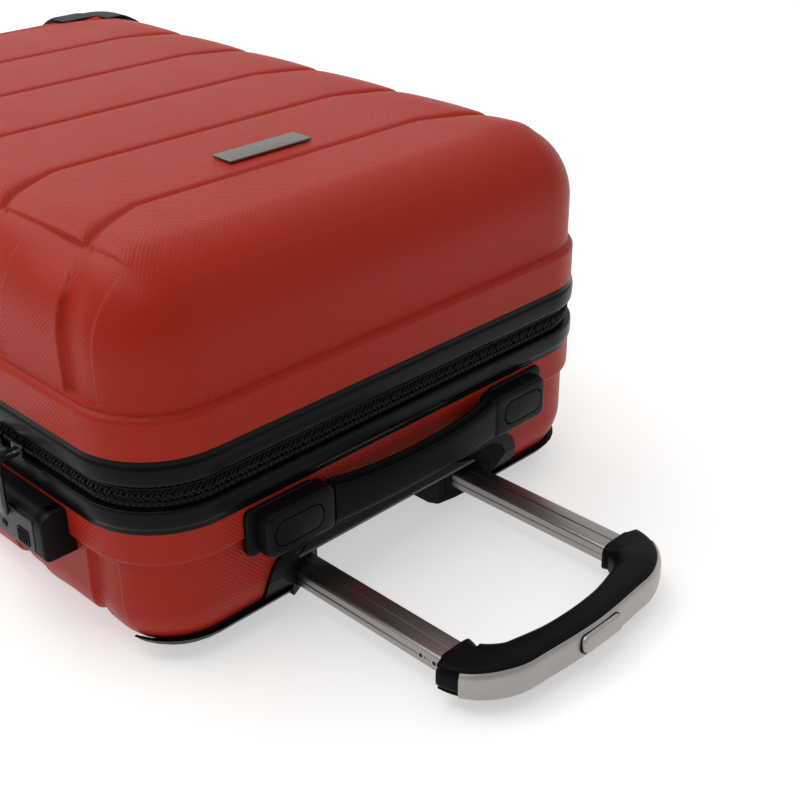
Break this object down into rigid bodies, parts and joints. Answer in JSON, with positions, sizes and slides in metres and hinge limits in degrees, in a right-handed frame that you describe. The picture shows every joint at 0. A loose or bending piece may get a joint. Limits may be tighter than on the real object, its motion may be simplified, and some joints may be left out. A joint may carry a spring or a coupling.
{
  "type": "hard shell suitcase on wheels",
  "caption": "Ribbed hard shell cabin suitcase lying on its back, zipped round the middle, with a telescopic trolley handle, a carry handle, a combination lock and swivel wheels.",
  "frame": {"origin": "middle of the flat back face, on which the case lies", "axes": "+Z out of the front face, +Y towards the wheels, -X towards the lock side"},
  "size_m": [0.3625, 0.6925, 0.2169],
  "materials": {
    "red_shell": "moulded, fine pyramid grain",
    "black_trim": "satin",
    "zip_fabric": "woven",
    "zip_coil": "satin",
    "lining_fabric": "woven polyester",
    "webbing": "woven",
    "black_plastic": "fine grain",
    "soft_grip": "soft touch",
    "lock_plate": "satin",
    "aluminium_tube": "brushed, anodised",
    "silver_plastic": "metallic paint",
    "zip_metal": "gunmetal",
    "steel": "plain",
    "badge_metal": "brushed",
    "wheel_rubber": "matte"
  },
  "bodies": {
    "case": {"rear_shell": "red_shell", "rear_trim": "black_trim", "rear_zip_tape": "zip_fabric", "rear_zip_coil": "zip_coil", "hinge_strip": "zip_fabric", "rear_lining": "lining_fabric", "floor_board": "lining_fabric", "compression_straps": "webbing", "strap_buckle": "black_plastic", "trolley_bezel": "black_plastic", "outer_sleeves": "aluminium_tube", "bottom_bracket": "black_plastic", "handle_bases": "black_plastic", "handle_caps": "black_plastic", "lock_body": "black_plastic", "lock_face": "lock_plate", "dial_shaft": "steel", "rear_wheel_housings": "black_plastic", "rear_swivel_pins": "steel"},
    "lid": {"front_shell": "red_shell", "front_trim": "black_trim", "front_zip_tape": "zip_fabric", "front_zip_coil": "zip_coil", "front_lining": "lining_fabric", "divider_panel": "lining_fabric", "badge": "badge_metal", "front_wheel_housings": "black_plastic", "front_swivel_pins": "steel"},
    "mid_stage": {"mid_tubes": "aluminium_tube", "mid_collars": "black_plastic", "mid_tube_feet": "black_plastic"},
    "inner_stage": {"inner_tubes": "aluminium_tube", "inner_tube_feet": "black_plastic", "grip_body": "soft_grip", "grip_cap": "silver_plastic", "grip_screws": "steel"},
    "button": {"grip_button": "silver_plastic"},
    "rods": {"push_rods": "steel"},
    "carry_handle": {"handle_strap": "soft_grip"},
    "slider_near": {"zip_slider_near": "zip_metal"},
    "slider_far": {"zip_slider_far": "zip_metal"},
    "tab_near": {"pull_tab_near": "zip_metal"},
    "tab_far": {"pull_tab_far": "zip_metal"},
    "dial_1": {"dial_1": "black_plastic"},
    "dial_2": {"dial_2": "black_plastic"},
    "dial_3": {"dial_3": "black_plastic"},
    "lock_release": {"lock_release": "black_plastic"},
    "key_plug": {"key_plug": "steel"},
    "caster_rear_left": {"fork_rear_left": "black_plastic", "axle_rear_left": "steel"},
    "wheel_rear_left": {"wheel_rear_left": "wheel_rubber"},
    "caster_rear_right": {"fork_rear_right": "black_plastic", "axle_rear_right": "steel"},
    "wheel_rear_right": {"wheel_rear_right": "wheel_rubber"},
    "caster_front_left": {"fork_front_left": "black_plastic", "axle_front_left": "steel"},
    "wheel_front_left": {"wheel_front_left": "wheel_rubber"},
    "caster_front_right": {"fork_front_right": "black_plastic", "axle_front_right": "steel"},
    "wheel_front_right": {"wheel_front_right": "wheel_rubber"}
  },
  "joints": [
    {"name": "lid_hinge", "type": "hinge", "parent": "case", "child": "lid", "pos_m": [0.1725, 0, 0.1035], "axis": [0, 1, 0], "range_deg": [0, 165]},
    {"name": "mid_stage_slide", "type": "slide", "parent": "case", "child": "mid_stage", "axis": [0, -1, 0], "range_m": [0, 0.225]},
    {"name": "inner_stage_slide", "type": "slide", "parent": "mid_stage", "child": "inner_stage", "axis": [0, -1, 0], "range_m": [-0.103, 0.131]},
    {"name": "grip_button_press", "type": "slide", "parent": "inner_stage", "child": "button", "axis": [0, 0.7071, -0.7071], "range_m": [0, 0.003], "stiffness_N_per_m": 400, "springref_m": -0.001},
    {"name": "push_rod_slide", "type": "slide", "parent": "inner_stage", "child": "rods", "axis": [0, 1, 0], "range_m": [0, 0.003]},
    {"name": "carry_handle_pull", "type": "slide", "parent": "case", "child": "carry_handle", "axis": [0, -1, 0], "range_m": [0, 0.0055], "stiffness_N_per_m": 600, "springref_m": -0.002},
    {"name": "zip_near_slide", "type": "slide", "parent": "case", "child": "slider_near", "axis": [0, -1, 0], "range_m": [0, 0.045]},
    {"name": "zip_far_slide", "type": "slide", "parent": "case", "child": "slider_far", "axis": [0, 1, 0], "range_m": [0, 0.32]},
    {"name": "tab_near_swing", "type": "hinge", "parent": "slider_near", "child": "tab_near", "pos_m": [-0.1884, -0.152, 0.1035], "axis": [0, 1, 0], "range_deg": [0, 165]},
    {"name": "tab_far_swing", "type": "hinge", "parent": "slider_far", "child": "tab_far", "pos_m": [-0.1884, -0.132, 0.1035], "axis": [0, 1, 0], "range_deg": [0, 165]},
    {"name": "dial_1_turn", "type": "hinge", "parent": "case", "child": "dial_1", "pos_m": [-0.1809, -0.14775, 0.064], "axis": [0, 1, 0], "continuous": true},
    {"name": "dial_2_turn", "type": "hinge", "parent": "case", "child": "dial_2", "pos_m": [-0.1809, -0.13975, 0.064], "axis": [0, 1, 0], "continuous": true},
    {"name": "dial_3_turn", "type": "hinge", "parent": "case", "child": "dial_3", "pos_m": [-0.1809, -0.13175, 0.064], "axis": [0, 1, 0], "continuous": true},
    {"name": "lock_release_slide", "type": "slide", "parent": "case", "child": "lock_release", "axis": [0, 1, 0], "range_m": [0, 0.005]},
    {"name": "key_plug_turn", "type": "hinge", "parent": "case", "child": "key_plug", "pos_m": [-0.1865, -0.116, 0.064], "axis": [1, 0, 0], "range_deg": [0, 90]},
    {"name": "swivel_rear_left", "type": "hinge", "parent": "case", "child": "caster_rear_left", "pos_m": [-0.132, 0.258, 0.04], "axis": [0, 1, 0], "continuous": true},
    {"name": "roll_rear_left", "type": "hinge", "parent": "caster_rear_left", "child": "wheel_rear_left", "pos_m": [-0.132, 0.281, 0.026], "axis": [1, 0, 0], "continuous": true},
    {"name": "swivel_rear_right", "type": "hinge", "parent": "case", "child": "caster_rear_right", "pos_m": [0.132, 0.258, 0.04], "axis": [0, 1, 0], "continuous": true},
    {"name": "roll_rear_right", "type": "hinge", "parent": "caster_rear_right", "child": "wheel_rear_right", "pos_m": [0.132, 0.281, 0.026], "axis": [1, 0, 0], "continuous": true},
    {"name": "swivel_front_left", "type": "hinge", "parent": "lid", "child": "caster_front_left", "pos_m": [-0.132, 0.258, 0.176], "axis": [0, 1, 0], "continuous": true},
    {"name": "roll_front_left", "type": "hinge", "parent": "caster_front_left", "child": "wheel_front_left", "pos_m": [-0.132, 0.281, 0.162], "axis": [1, 0, 0], "continuous": true},
    {"name": "swivel_front_right", "type": "hinge", "parent": "lid", "child": "caster_front_right", "pos_m": [0.132, 0.258, 0.176], "axis": [0, 1, 0], "continuous": true},
    {"name": "roll_front_right", "type": "hinge", "parent": "caster_front_right", "child": "wheel_front_right", "pos_m": [0.132, 0.281, 0.162], "axis": [1, 0, 0], "continuous": true}
  ],
  "couplings": [
    {"joint": "push_rod_slide", "follows": "grip_button_press", "ratio": 1}
  ]
}
